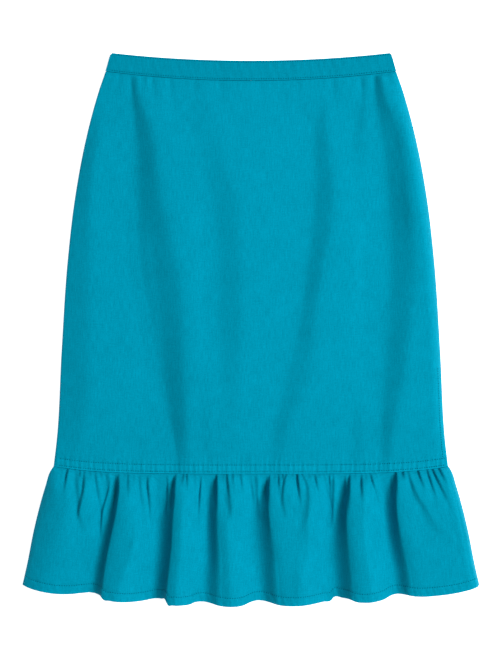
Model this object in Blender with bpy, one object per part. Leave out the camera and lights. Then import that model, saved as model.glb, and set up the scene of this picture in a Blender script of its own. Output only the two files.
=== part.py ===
"""Flounce skirt laid flat: a straight skirt with a waistband and a gathered flounce at the hem.

The skirt lies on the plane z = 0 with its back down. Its waist is towards +Y, its hem towards -Y,
and the origin is under the middle of its outline. Each cut piece of cloth is a wall of its own.
"""
import bmesh
import bpy
import numpy as np

MM = 0.001

# Driving sizes, in metres
WAIST_HALF = 0.1775        # half of the width across the waist's top edge
BAND_HEIGHT = 0.0233       # height of the waistband at the side seams
WAIST_DIP = 0.0100         # how far the top edge sags in the middle
BAND_DIP = 0.0120          # how far the seam under the waistband sags
PANEL_LENGTH = 0.5000      # from the waistband's seam to the flounce's seam, at the sides
SEAM_DIP = 0.0093          # how far the flounce's seam sags
FLOUNCE_SIDE = 0.1497      # depth of the flounce along its side seams
HEM_DIP = 0.0256           # how far the lowest wave of the hem reaches below its corners
CLOTH = 0.0016             # wall of the panels and the flounce
BAND_CLOTH = 0.0024        # wall of the waistband, which is folded double
SEAM_GAP = 0.0003          # space between two pieces that are sewn together
BACK_INSET = 0.0008        # how far the back's sides stay inside the front's
BACK_HEM_DIP = 0.0120      # how far the back hem sags in the middle
SEAM_STRIP = 0.0112        # height of the stitched-down strip above the flounce
SEAM_STRIP_RISE = 0.0007   # how far that strip stands out

# Heights of the front over the back, in metres
BAND_LIFT = 0.0006         # waistband
PANEL_LIFT = 0.0090        # middle of the front panel
STRIP_LIFT = 0.0026        # front panel at the flounce's seam
EDGE_RUN = 0.0300          # width over which the flounce and waistband fall to their sides
RIGHT_RUN = 0.0240         # width of the front panel's slope to its right side seam
FOLD_REACH = 80.0          # width in mm over which a fold's height fades away
FOLD_START = 0.0060        # length over which the folds open under the waistband
LEAST_LIFT = 0.3           # part of the lift that is left at the bottom of a fold
GATHER_RISE = 0.0030       # puffs between the gathers
PUFF_RUN = 0.14            # part of the flounce's depth over which its waves fill out
WAVE_SHARE_BACK = 0.30     # height of the back's waves against the front's
WAVE_ERODE = 0.035         # how much narrower the back's waves are, as a part of the half width

WAIST_Y = (BAND_HEIGHT + PANEL_LENGTH + FLOUNCE_SIDE + HEM_DIP) / 2
BAND_SEAM_Y = WAIST_Y - BAND_HEIGHT
FLOUNCE_SEAM_Y = BAND_SEAM_Y - PANEL_LENGTH
HEM_CORNER_Y = FLOUNCE_SEAM_Y - FLOUNCE_SIDE

# Side seam of the skirt: distance below the waist's corner and half width, in mm
SIDE = [
    (0, 177.5),
    (23, 184.0),
    (46, 192.0),
    (72, 199.7),
    (110, 209.2),
    (186, 223.2),
    (262, 232.0),
    (376, 239.7),
    (490, 246.0),
    (523, 249.8),
]

# Side of the flounce: part of its depth and half width in mm
FLARE = [
    (0.00, 250.2),
    (0.04, 254.0),
    (0.16, 259.9),
    (0.29, 265.6),
    (0.55, 275.2),
    (0.81, 282.8),
    (1.00, 289.2),
]

# Slope to the left side seam: part of the panel's length and width in mm
LEFT_RUN = [(0.0, 10), (0.17, 16), (0.33, 20), (0.48, 27), (0.63, 32), (0.78, 38), (1.0, 37)]

# Folds down the front panel, each a step up to the right: part of the panel's length, then
# x, height of the step and half its width in mm
FOLDS = [
    [(0.00, -151, 3.0, 7), (0.17, -134, 12.0, 12), (0.33, -125, 12.5, 15), (0.48, -110, 12.8, 18),
     (0.63, -101, 13.5, 18), (0.78, -97, 13.5, 15), (0.93, -91, 9.0, 11), (1.00, -90, 4.0, 9)],
    [(0.00, -80, 0.6, 14), (0.17, -58, 4.0, 17), (0.33, -34, 7.0, 17), (0.48, -27, 8.0, 18),
     (0.63, -27, 8.5, 16), (0.78, -26, 4.5, 15), (1.00, -36, 0.3, 13)],
    [(0.00, 88, 3.0, 8), (0.17, 88, 5.6, 9), (0.33, 92, 9.0, 13), (0.48, 82, 8.0, 11),
     (0.63, 71, 6.4, 10), (0.78, 57, 6.6, 15), (0.93, 36, 4.0, 9), (1.00, 33, 2.0, 9)],
    [(0.00, 160, 4.0, 7), (0.17, 177, 10.5, 13), (0.33, 186, 13.0, 14), (0.48, 191, 12.0, 17),
     (0.63, 188, 11.5, 16), (0.78, 180, 9.5, 14), (0.93, 171, 4.6, 8), (1.00, 170, 2.0, 8)],
]

# Waves of the flounce: place across as a part of the half width, height of the wave in mm
WAVES = [
    (-1.000, 0.0), (-0.930, 7.0), (-0.800, 11.5), (-0.730, 9.0), (-0.668, 2.0), (-0.610, 14.0),
    (-0.480, 15.0), (-0.410, 4.0), (-0.377, 1.5), (-0.330, 14.5), (-0.275, 16.0), (-0.175, 5.0),
    (-0.075, 15.0), (0.000, 9.0), (0.055, 3.0), (0.110, 13.0), (0.165, 15.0), (0.235, 12.0),
    (0.315, 15.0), (0.345, 14.0), (0.390, 2.0), (0.422, 3.0), (0.475, 13.0), (0.530, 15.0),
    (0.610, 12.0), (0.662, 3.0), (0.705, 5.0), (0.800, 11.5), (0.925, 7.5), (1.000, 0.0),
]

# Hem of the front flounce: place across, how far it reaches below the hem's corners in mm
HEM = [
    (-1.000, 0.0), (-0.966, 3.6), (-0.913, 7.4), (-0.843, 10.6), (-0.790, 11.2), (-0.738, 10.2),
    (-0.700, 9.6), (-0.665, 11.0), (-0.653, 12.2), (-0.644, 15.6), (-0.615, 17.6), (-0.560, 19.7),
    (-0.510, 20.2), (-0.460, 19.2), (-0.425, 17.3), (-0.390, 16.5), (-0.369, 17.2), (-0.362, 21.8),
    (-0.340, 23.0), (-0.300, 23.5), (-0.265, 22.8), (-0.245, 20.8), (-0.215, 20.2), (-0.175, 21.7),
    (-0.140, 24.0), (-0.080, 25.6), (-0.035, 24.4), (0.000, 20.6), (0.020, 19.2), (0.055, 19.4),
    (0.087, 21.1), (0.130, 23.7), (0.190, 24.4), (0.245, 23.7), (0.315, 20.9), (0.353, 18.9),
    (0.361, 16.2), (0.400, 15.6), (0.432, 16.4), (0.455, 18.8), (0.490, 19.7), (0.543, 18.8),
    (0.578, 16.8), (0.613, 12.2), (0.640, 10.4), (0.670, 10.6), (0.715, 12.2), (0.750, 12.4),
    (0.806, 11.4), (0.876, 9.0), (0.946, 4.8), (1.000, 0.0),
]

# Waves whose side turns over the groove beside it: place across, how far it turns over
# in mm near the seam and at the hem, half width of the turn in mm
TURNS = [
    (-0.645, 6.0, 5.0, 5.0),
    (-0.357, 6.5, 6.0, 5.0),
    (0.086, 5.5, 2.0, 5.0),
    (0.366, 5.0, 6.0, 5.0),
    (0.637, 5.5, 2.0, 5.5),
]

# Gathers under the flounce's seam: place across, depth as a part of the rise, length in mm
GATHERS = [
    (-0.930, 0.6, 22), (-0.905, 0.7, 26), (-0.875, 0.9, 46), (-0.845, 1.0, 60),
    (-0.803, 0.8, 34), (-0.765, 0.6, 26), (-0.735, 0.9, 50), (-0.700, 0.8, 30),
    (-0.655, 1.0, 70), (-0.612, 0.6, 24), (-0.570, 0.8, 30), (-0.529, 0.9, 52),
    (-0.494, 0.7, 26), (-0.463, 0.9, 60), (-0.430, 0.8, 40), (-0.400, 0.7, 32),
    (-0.362, 1.0, 70), (-0.330, 0.5, 20), (-0.296, 0.8, 34), (-0.262, 0.7, 28),
    (-0.230, 0.7, 24), (-0.201, 0.8, 36), (-0.176, 1.0, 70), (-0.140, 0.5, 22),
    (-0.106, 0.8, 38), (-0.060, 0.8, 42), (-0.034, 0.7, 30), (-0.004, 0.8, 44),
    (0.030, 0.7, 34), (0.062, 0.8, 50), (0.086, 1.0, 66), (0.128, 0.5, 20),
    (0.174, 0.9, 52), (0.224, 0.8, 30), (0.250, 0.7, 42), (0.303, 0.7, 34),
    (0.330, 0.7, 28), (0.370, 1.0, 60), (0.400, 0.7, 34), (0.428, 0.8, 40),
    (0.452, 0.9, 60), (0.490, 0.7, 26), (0.548, 0.8, 32), (0.576, 0.7, 26),
    (0.606, 0.7, 34), (0.640, 0.9, 56), (0.672, 0.8, 50), (0.708, 0.8, 36),
    (0.745, 0.5, 22), (0.790, 0.9, 56), (0.838, 0.7, 30), (0.880, 0.7, 28),
    (0.920, 0.6, 22), (0.968, 0.5, 16),
]
GATHER_WIDTH = 0.0030      # half width of one gather's groove
GATHER_START = 0.012       # depth over which the gathers open below the seam
SEAM_LIP = 0.0018          # flat edge of the flounce along its seam

BAND_COLUMNS = 34
PANEL_COLUMNS = 60
PANEL_ROWS = 16
BACK_PANEL_COLUMNS = 8
BACK_PANEL_ROWS = 13
BACK_COLUMNS = 56
BACK_ROWS = 7
FLOUNCE_ROWS = (0.0, SEAM_LIP / FLOUNCE_SIDE, 0.04, 0.09, 0.16, 0.26, 0.40, 0.56, 0.78, 1.0)
COLUMNS_PER_GATHER = 3
TURN_COLUMNS = (-1.0, -0.5, 0.0, 0.5, 1.0)

TURQUOISE = (0.004, 0.300, 0.450, 1.0)
CLOTH_ROUGHNESS = 0.9


def remove_all():
    """Start from an empty scene."""
    for thing in list(bpy.data.objects):
        bpy.data.objects.remove(thing, do_unlink=True)


def eased(place, table, column):
    """Value of a table's column at a place, level at each row and smooth between rows."""
    places = np.array([row[0] for row in table])
    values = np.array([row[column] for row in table])
    step = np.clip(np.searchsorted(places, place) - 1, 0, len(places) - 2)
    part = np.clip((place - places[step]) / (places[step + 1] - places[step]), 0.0, 1.0)
    part = part * part * (3.0 - 2.0 * part)
    return values[step] + (values[step + 1] - values[step]) * part


def curved(place, table, column=1):
    """Value of a table's column at a place, on a smooth curve through all rows."""
    places = np.array([row[0] for row in table], dtype=float)
    values = np.array([row[column] for row in table], dtype=float)
    slopes = np.gradient(values, places)
    step = np.clip(np.searchsorted(places, place) - 1, 0, len(places) - 2)
    run = places[step + 1] - places[step]
    t = np.clip((place - places[step]) / run, 0.0, 1.0)
    start = (1.0 + 2.0 * t) * (1.0 - t) ** 2 * values[step]
    end = t * t * (3.0 - 2.0 * t) * values[step + 1]
    lean = run * (t * (1.0 - t) ** 2 * slopes[step] - t * t * (1.0 - t) * slopes[step + 1])
    return start + end + lean


def skirt_half(y):
    """Half width of the skirt above the flounce at a height y."""
    return curved((WAIST_Y - y) / MM, SIDE) * MM


def top_edge(across):
    """Height on the plane of the waist's top edge."""
    return WAIST_Y - WAIST_DIP * (1.0 - across ** 2)


def band_seam(across):
    """Height on the plane of the seam under the waistband."""
    return BAND_SEAM_Y - BAND_DIP * (1.0 - across ** 2)


def flounce_seam(across):
    """Height on the plane of the seam over the flounce."""
    return FLOUNCE_SEAM_Y - SEAM_DIP * (1.0 - np.abs(across) ** 4.5)


def side_fall(across, half):
    """1 in the middle, falling to 0 at the side seams."""
    inside = (1.0 - np.abs(across)) * half
    return 1.0 - np.exp(-inside / EDGE_RUN)


def smooth(value):
    """0 to 1 with soft ends, for a value that is cut to that range."""
    part = np.clip(value, 0.0, 1.0)
    return part * part * (3.0 - 2.0 * part)


def fold_height(x, y):
    """Height of the long folds: each is a steep step to the right with a long gentle fall."""
    down = np.clip((BAND_SEAM_Y - y) / PANEL_LENGTH, 0.0, 1.0)
    height = 0.0
    for fold in FOLDS:
        aside = x / MM - curved(down, fold, 1)
        turned = aside / curved(down, fold, 3)
        step = turned / np.sqrt(np.sqrt(1.0 + turned ** 4)) * np.exp(-(aside / FOLD_REACH) ** 2)
        height = height + 0.5 * curved(down, fold, 2) * step
    return height * MM


def panel_lift(across, x, y, half):
    """Space between the front panel and the back."""
    down = np.clip((BAND_SEAM_Y - y) / PANEL_LENGTH, 0.0, 1.0)
    low = BAND_LIFT + (PANEL_LIFT - BAND_LIFT) * smooth(down / 0.22)
    high = STRIP_LIFT + (low - STRIP_LIFT) * smooth((1.0 - down) / 0.16)
    inside = (1.0 - np.abs(across)) * half
    run = np.where(across < 0.0, curved(down, LEFT_RUN) * MM, RIGHT_RUN)
    up = inside / run
    rise = up / (1.0 + up ** 6) ** (1.0 / 6.0)
    start = smooth((band_seam(across) - y) / FOLD_START)
    return np.maximum(high + fold_height(x, y) * start, LEAST_LIFT * high) * rise


def front_base():
    """Height of the middle of the front's wall where it lies on the back."""
    return CLOTH + SEAM_GAP + CLOTH / 2


def wave_height(across):
    """Height of the flounce's waves at the hem."""
    return eased(across, WAVES, 1) * MM


def puff(depth):
    """How far the waves have filled out at a part of the flounce's depth."""
    below = np.maximum(depth - SEAM_LIP / FLOUNCE_SIDE, 0.0)
    return (1.0 - np.exp(-below / PUFF_RUN)) / (1.0 - np.exp(-1.0 / PUFF_RUN))


def gather_height(across, depth, half):
    """Height of the puffs between the gathers under the flounce's seam."""
    below = np.maximum(depth * FLOUNCE_SIDE - SEAM_LIP, 0.0)
    opened = 0.35 + 0.65 * np.clip(below / GATHER_START, 0.0, 1.0)
    groove = np.zeros_like(below)
    longest = np.zeros_like(below)
    for place, deep, reach in GATHERS:
        aside = (across - place) * half / GATHER_WIDTH
        fade = np.exp(-(below / (reach * MM)) ** 2)
        groove = np.maximum(groove, deep * fade * np.exp(-aside ** 2))
        near = np.exp(-(aside / 4.0) ** 2)
        longest = np.maximum(longest, fade * near)
    return GATHER_RISE * opened * longest * (1.0 - groove)


def wave_turn(across, depth, half):
    """Sideways shift that turns a wave's side over the groove beside it."""
    shift = np.zeros_like(depth)
    for place, upper, lower, reach in TURNS:
        aside = (across - place) * half / (reach * MM)
        turn = (upper + (lower - upper) * depth) * MM
        shift = shift - turn * aside * np.exp(0.5 - aside ** 2 / 2)
    return shift * puff(depth)


def place_band(across, down, base, inset):
    """A point of a waistband, lying at the height base."""
    upper = top_edge(across)
    lower = band_seam(across) + SEAM_GAP / 2
    y = upper + (lower - upper) * down
    x = across * (skirt_half(y) - inset)
    return x, y, base + 0.0 * x


def front_band_point(across, down):
    """A point in the middle of the front waistband's wall."""
    base = BAND_CLOTH + SEAM_GAP + BAND_CLOTH / 2
    x, y, z = place_band(across, down, base, 0.0)
    return x, y, z + BAND_LIFT * side_fall(across, skirt_half(y))


def back_band_point(across, down):
    """A point in the middle of the back waistband's wall."""
    return place_band(across, down, BAND_CLOTH / 2, BACK_INSET)


def panel_grid(across, down, inset):
    """Place of a point of a panel on the plane."""
    upper = band_seam(across) - SEAM_GAP / 2
    lower = flounce_seam(across) + SEAM_GAP / 2
    y = upper + (lower - upper) * down
    x = across * (skirt_half(y) - inset)
    return x, y


def front_panel_point(across, down):
    """A point in the middle of the front panel's wall."""
    x, y = panel_grid(across, down, 0.0)
    over_seam = y - flounce_seam(across)
    strip = SEAM_STRIP_RISE * np.clip((SEAM_STRIP - over_seam) / CLOTH + 0.5, 0.0, 1.0)
    join = np.clip((y - (band_seam(across) - EDGE_RUN)) / EDGE_RUN, 0.0, 1.0)
    step = (BAND_CLOTH - CLOTH) * join
    z = front_base() + panel_lift(across, x, y, skirt_half(y)) + strip + step
    return x, y, z


def back_panel_point(across, down):
    """A point in the middle of the back panel's wall."""
    x, y = panel_grid(across, down, BACK_INSET)
    return x, y, CLOTH / 2 + 0.0 * x


def flounce_line(across, depth, dip):
    """Height on the plane of a point of the flounce whose hem sags by dip."""
    upper = flounce_seam(across) - SEAM_GAP / 2
    lower = HEM_CORNER_Y - dip
    return upper + (lower - upper) * depth


def front_flounce_point(across, depth):
    """A point in the middle of the front flounce's wall."""
    half = curved(depth, FLARE) * MM
    y = flounce_line(across, depth, curved(across, HEM) * MM)
    x = across * half + wave_turn(across, depth, half)
    seam = panel_lift(across, across * half, flounce_seam(across), half) * (1.0 - puff(depth))
    z = front_base() + seam + wave_height(across) * puff(depth)
    return x, y, z + gather_height(across, depth, half) * side_fall(across, half)


def back_flounce_point(across, depth):
    """A point in the middle of the back flounce's wall."""
    half = curved(depth, FLARE) * MM - BACK_INSET
    y = flounce_line(across, depth, BACK_HEM_DIP * (1.0 - across ** 2))
    left = wave_height(np.clip(across - WAVE_ERODE, -1.0, 1.0))
    right = wave_height(np.clip(across + WAVE_ERODE, -1.0, 1.0))
    wave = np.minimum(np.minimum(left, right), wave_height(across))
    return across * half, y, CLOTH / 2 + WAVE_SHARE_BACK * wave * puff(depth)


def cloth_material(name):
    """Matt turquoise cloth."""
    material = bpy.data.materials.new(name + "_cloth")
    material.use_nodes = True
    shader = material.node_tree.nodes["Principled BSDF"]
    shader.inputs["Base Color"].default_value = TURQUOISE
    shader.inputs["Roughness"].default_value = CLOTH_ROUGHNESS
    shader.inputs["Metallic"].default_value = 0.0
    material.diffuse_color = TURQUOISE
    return material


def cloth_wall(name, point, columns, rows, thickness):
    """One piece of cloth: a grid laid on its surface and made a closed wall."""
    net = bmesh.new()
    bmesh.ops.create_grid(net, x_segments=len(columns) - 1, y_segments=len(rows) - 1, size=0.5)
    for vertex in net.verts:
        i = round((vertex.co.x + 0.5) * (len(columns) - 1))
        j = round((0.5 - vertex.co.y) * (len(rows) - 1))
        vertex.co = point(np.float64(columns[i]), np.float64(rows[j]))
    mesh = bpy.data.meshes.new(name)
    net.to_mesh(mesh)
    net.free()
    mesh.shade_smooth()
    piece = bpy.data.objects.new(name, mesh)
    bpy.context.scene.collection.objects.link(piece)
    mesh.materials.append(cloth_material(name))
    wall = piece.modifiers.new("wall", "SOLIDIFY")
    wall.thickness = thickness
    wall.offset = 0.0
    wall.use_quality_normals = True
    return piece


def even(start, end, count):
    """Evenly spaced stations."""
    return list(np.linspace(start, end, count + 1))


def panel_rows():
    """Rows down the front panel, with two at the edge of the stitched strip."""
    edge = 1.0 - SEAM_STRIP / PANEL_LENGTH
    half_step = CLOTH / 2 / PANEL_LENGTH
    upper = even(0.0, edge - 4.0 * half_step, PANEL_ROWS)
    return upper + [edge - half_step, edge + half_step, 1.0]


def flounce_columns():
    """Columns across the front flounce: some from each gather to the next, more at the turns."""
    marks = [-1.0] + [row[0] for row in GATHERS] + [1.0]
    columns = []
    for start, end in zip(marks[:-1], marks[1:]):
        columns += list(np.linspace(start, end, COLUMNS_PER_GATHER, endpoint=False))
    columns.append(1.0)
    half = FLARE[-1][1]
    for place, upper, lower, reach in TURNS:
        columns = [c for c in columns if abs(c - place) > 1.3 * reach / half]
        columns += [place + part * reach / half for part in TURN_COLUMNS]
    return sorted(columns)


def main():
    """Make each piece of the skirt."""
    remove_all()
    middle = SEAM_GAP / 2 / WAIST_HALF
    left = even(-1.0, -middle, BACK_PANEL_COLUMNS)
    right = even(middle, 1.0, BACK_PANEL_COLUMNS)
    band_rows = even(0.0, 1.0, 2)
    back_rows = even(0.0, 1.0, BACK_PANEL_ROWS)
    cloth_wall("waistband_back_left", back_band_point, left, band_rows, BAND_CLOTH)
    cloth_wall("waistband_back_right", back_band_point, right, band_rows, BAND_CLOTH)
    cloth_wall("back_panel_left", back_panel_point, left, back_rows, CLOTH)
    cloth_wall("back_panel_right", back_panel_point, right, back_rows, CLOTH)
    cloth_wall("flounce_back", back_flounce_point, even(-1.0, 1.0, BACK_COLUMNS),
               even(0.0, 1.0, BACK_ROWS), CLOTH)
    cloth_wall("waistband_front", front_band_point, even(-1.0, 1.0, BAND_COLUMNS), band_rows,
               BAND_CLOTH)
    cloth_wall("front_panel", front_panel_point, even(-1.0, 1.0, PANEL_COLUMNS), panel_rows(),
               CLOTH)
    cloth_wall("flounce_front", front_flounce_point, flounce_columns(), FLOUNCE_ROWS, CLOTH)


main()
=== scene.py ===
# %% [markdown]
# # A flounce skirt laid flat
# The skirt is a straight one of matt turquoise cloth, with a shaped waistband and a gathered
# flounce. It lies on its back, and the camera looks straight down on it. The solids that are loaded
# first settle where every piece lies. They are thick and plain, so each is replaced by a thin
# sheet of cloth on the same form, with finer folds, rolled edges, stitches and a woven finish.

# %% Load the frame
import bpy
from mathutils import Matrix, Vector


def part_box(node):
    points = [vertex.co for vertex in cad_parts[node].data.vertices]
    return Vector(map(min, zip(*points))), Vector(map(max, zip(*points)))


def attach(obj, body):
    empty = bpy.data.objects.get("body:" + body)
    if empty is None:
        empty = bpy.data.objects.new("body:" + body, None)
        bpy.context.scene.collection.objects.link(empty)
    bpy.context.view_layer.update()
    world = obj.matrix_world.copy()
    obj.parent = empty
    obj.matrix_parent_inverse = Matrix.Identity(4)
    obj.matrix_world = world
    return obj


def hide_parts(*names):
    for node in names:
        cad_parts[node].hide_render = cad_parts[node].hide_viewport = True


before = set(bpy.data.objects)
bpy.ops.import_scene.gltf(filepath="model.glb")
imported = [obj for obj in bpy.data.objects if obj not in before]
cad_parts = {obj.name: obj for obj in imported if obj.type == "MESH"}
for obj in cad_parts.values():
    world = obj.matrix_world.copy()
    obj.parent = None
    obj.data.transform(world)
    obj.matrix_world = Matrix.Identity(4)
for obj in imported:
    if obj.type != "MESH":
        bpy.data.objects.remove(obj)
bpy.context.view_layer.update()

# %% [markdown]
# Blender works in metres, and a garment is measured in millimetres, so one millimetre gets a name.
# The places of the seams come from the boxes of the solids. Heights such as how far the seams sag
# are the same sizes that the solids were made with.

# %% Sizes of the skirt
import math

import bpy
import numpy as np

MM = 0.001
WAIST_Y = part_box("waistband_front")[1][1]
SEAM_GAP = 0.3 * MM
FLOUNCE_SEAM_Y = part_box("flounce_front")[1][1] + SEAM_GAP / 2
PANEL_LENGTH = 500.0 * MM
BAND_SEAM_Y = FLOUNCE_SEAM_Y + PANEL_LENGTH
FLOUNCE_SIDE = 149.7 * MM
HEM_CORNER_Y = FLOUNCE_SEAM_Y - FLOUNCE_SIDE
WAIST_DIP = 10.0 * MM
BAND_DIP = 12.0 * MM
SEAM_DIP = 9.3 * MM
BACK_HEM_DIP = 12.0 * MM
BACK_INSET = 0.8 * MM
CLOTH = 1.6 * MM
BAND_CLOTH = 2.4 * MM
print("waist at", round(WAIST_Y, 4), "flounce seam at", round(FLOUNCE_SEAM_Y, 4))

# %% [markdown]
# The camera stands straight over the skirt. A long lens far away keeps the sides parallel, as in a
# catalogue picture. Its height follows from how much of the plane has to fill the picture.

# %% Camera
PICTURE = (500, 667)
MM_PER_PIXEL = 1.268
WAIST_CORNER_ROW = 53.5
CENTRE_COLUMN = 250.9
LENS = 85.0
SENSOR = 36.0


def place_camera():
    """A camera over the skirt that looks straight down, with the waist at the top."""
    field = PICTURE[1] * MM_PER_PIXEL * MM
    height = field * LENS / SENSOR
    x = (PICTURE[0] / 2 - CENTRE_COLUMN) * MM_PER_PIXEL * MM
    y = WAIST_Y - (PICTURE[1] / 2 - WAIST_CORNER_ROW) * MM_PER_PIXEL * MM
    bpy.ops.object.camera_add(location=(x, y, height), rotation=(0.0, 0.0, 0.0))
    camera = bpy.context.object
    camera.name = "camera"
    camera.data.lens = LENS
    camera.data.sensor_width = SENSOR
    camera.data.sensor_fit = "AUTO"
    bpy.context.scene.camera = camera
    print("camera", round(height, 3), "m above the floor")


place_camera()

# %% [markdown]
# A soft form such as a fold is easiest to describe by a short table: one row for each fold, and a
# smooth curve between rows. Two kinds of curve do: one that is level at every row, for waves, and
# one that runs through all rows, for outlines.

# %% Curves through tables
def eased(place, table, column):
    """Value of a table's column at a place, level at each row and smooth between rows."""
    places = np.array([row[0] for row in table])
    values = np.array([row[column] for row in table])
    step = np.clip(np.searchsorted(places, place) - 1, 0, len(places) - 2)
    part = np.clip((place - places[step]) / (places[step + 1] - places[step]), 0.0, 1.0)
    part = part * part * (3.0 - 2.0 * part)
    return values[step] + (values[step + 1] - values[step]) * part


def curved(place, table, column=1):
    """Value of a table's column at a place, on a smooth curve through all rows."""
    places = np.array([row[0] for row in table], dtype=float)
    values = np.array([row[column] for row in table], dtype=float)
    slopes = np.gradient(values, places)
    step = np.clip(np.searchsorted(places, place) - 1, 0, len(places) - 2)
    run = places[step + 1] - places[step]
    t = np.clip((place - places[step]) / run, 0.0, 1.0)
    start = (1.0 + 2.0 * t) * (1.0 - t) ** 2 * values[step]
    end = t * t * (3.0 - 2.0 * t) * values[step + 1]
    lean = run * (t * (1.0 - t) ** 2 * slopes[step] - t * t * (1.0 - t) * slopes[step + 1])
    return start + end + lean


def smooth(value):
    """0 to 1 with soft ends, for a value that is cut to that range."""
    part = np.clip(value, 0.0, 1.0)
    return part * part * (3.0 - 2.0 * part)


def ripple(along, spacing, phase):
    """Uneven small waves between -1 and 1, about one to each spacing."""
    turn = 2.0 * math.pi * along / spacing
    first = np.sin(turn + phase)
    second = np.sin(turn * 0.618 + 2.1 * phase + 1.0)
    third = np.sin(turn * 1.737 + 0.7 * phase + 2.0)
    return 0.45 * first + 0.30 * second + 0.25 * third


# %% [markdown]
# The side seam curves out from the waist over the hip and then falls almost straight, and the
# flounce flares from it. The seams across the skirt sag in the middle, as a shaped seam does.

# %% Outline
# distance below the waist's corners and half width, in mm
SIDE = [
    (0, 177.5),
    (23, 184.0),
    (46, 192.0),
    (72, 199.7),
    (110, 209.2),
    (186, 223.2),
    (262, 232.0),
    (376, 239.7),
    (490, 246.0),
    (523, 249.8),
]
# part of the flounce's depth, and half width in mm
FLARE = [
    (0.00, 250.2),
    (0.04, 254.0),
    (0.16, 259.9),
    (0.29, 265.6),
    (0.55, 275.2),
    (0.81, 282.8),
    (1.00, 289.2),
]
SEAM_DIP_POWER = 4.5


def skirt_half(y):
    """Half width of the skirt above the flounce at a height y."""
    return curved((WAIST_Y - y) / MM, SIDE) * MM


def side_distance(across, half):
    """Distance inside the nearer side of a piece, from a place across and the half width there."""
    return (1.0 - np.abs(across)) * half


def top_edge(across):
    """Height on the plane of the waist's top edge."""
    return WAIST_Y - WAIST_DIP * (1.0 - across ** 2)


def band_seam(across):
    """Height on the plane of the seam under the waistband."""
    return BAND_SEAM_Y - BAND_DIP * (1.0 - across ** 2)


def flounce_seam(across):
    """Height on the plane of the seam over the flounce."""
    return FLOUNCE_SEAM_Y - SEAM_DIP * (1.0 - np.abs(across) ** SEAM_DIP_POWER)


# %% [markdown]
# The front panel lies loosely on the back. It is highest in the middle and falls to its side seams.
# Four long soft folds and four short ones run down it. Each is steep on its left and gentle on its
# right, so under light from the right it shows as one dark band. Near the waistband the panel is
# puckered by its seam.

# %% Form of the front panel
BAND_LIFT = 0.6 * MM
PANEL_LIFT = 9.5 * MM
STRIP_LIFT = 2.6 * MM
EDGE_RUN = 30.0 * MM
RIGHT_RUN = 15.0 * MM
# part of the panel's length, width in mm of the slope to the left side seam
LEFT_RUN = [(0.0, 10), (0.17, 16), (0.33, 20), (0.48, 29), (0.63, 34), (0.78, 36), (1.0, 30)]
SEAM_STRIP = 13.0 * MM
SEAM_STRIP_RISE = 0.7 * MM

# part of the panel's length, x, rise of the step and half its width, in mm
FOLDS = [
    [(0.00, -151, 3.0, 6), (0.05, -149, 7.0, 7), (0.17, -134, 12.0, 12), (0.33, -125, 12.5, 15),
     (0.48, -110, 12.8, 18), (0.63, -101, 13.5, 18), (0.78, -97, 13.5, 15), (0.93, -91, 9.0, 11),
     (1.00, -90, 4.0, 9)],
    [(0.00, -80, 0.6, 14), (0.17, -58, 4.0, 17), (0.33, -34, 7.0, 17), (0.48, -27, 8.0, 18),
     (0.63, -27, 8.5, 16), (0.78, -26, 4.5, 15), (1.00, -36, 0.3, 13)],
    [(0.00, 88, 3.0, 7), (0.17, 88, 5.6, 9), (0.33, 92, 9.0, 13), (0.48, 82, 8.0, 11),
     (0.63, 71, 6.4, 10), (0.78, 57, 6.6, 15), (0.93, 36, 4.0, 9), (1.00, 33, 2.0, 9)],
    [(0.00, 160, 4.0, 5), (0.05, 162, 7.0, 6), (0.17, 177, 10.5, 13), (0.33, 186, 13.0, 14),
     (0.48, 191, 12.0, 17), (0.63, 188, 11.5, 16), (0.78, 180, 9.5, 14), (0.93, 171, 4.6, 7),
     (1.00, 170, 2.0, 7)],
    [(0.00, -64, 0.2, 6), (0.80, -60, 0.3, 6), (0.93, -54, 1.8, 7), (1.00, -52, 0.8, 7)],
    [(0.00, 134, 2.4, 5), (0.05, 138, 4.0, 5.5), (0.17, 136, 2.4, 8), (0.30, 135, 0.0, 8),
     (0.80, 136, 0.0, 8), (0.93, 135, 2.2, 7), (1.00, 134, 1.0, 7)],
    [(0.00, -150, 0.0, 7), (0.20, -146, 0.1, 7), (0.33, -141, 2.0, 7), (0.48, -136, 3.8, 8),
     (0.63, -125, 2.6, 8), (0.76, -118, 0.2, 8), (1.00, -116, 0.0, 8)],
    [(0.00, 172, 0.0, 6), (0.06, 174, 0.4, 6), (0.14, 184, 1.6, 6), (0.24, 193, 1.8, 7),
     (0.36, 199, 2.4, 7), (0.46, 200, 0.4, 8), (1.00, 196, 0.0, 8)],
]
# sizes that aren't times MM are in mm, like the table's, or parts of a whole
FOLD_REACH = 80.0
FOLD_START = 6.0 * MM
RISE_PART = 0.22
FALL_PART = 0.16
LOWEST_PART = 0.3
SLOPE_CORNER = 10
PUCKER = 2.2
PUCKER_START = 2.5
PUCKER_WIDTH = 3.4
PUCKER_SPREAD = 0.10
# x under the waistband and lean to the right in mm, depth as a part of PUCKER, length in mm
PUCKERS = [
    (-166, -3, 0.5, 16),
    (-151, -2, 0.4, 34),
    (-137, 1, 0.5, 18),
    (-125, 2, 0.6, 22),
    (-103, 3, 0.5, 30),
    (-72, 1, 0.35, 18),
    (-38, 0, 0.3, 20),
    (12, 0, 0.3, 16),
    (58, 1, 0.35, 22),
    (104, 0, 0.5, 22),
    (139, 2, 0.7, 26),
    (156, 1, 0.6, 18),
    (172, 5, 0.6, 18),
]


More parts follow.
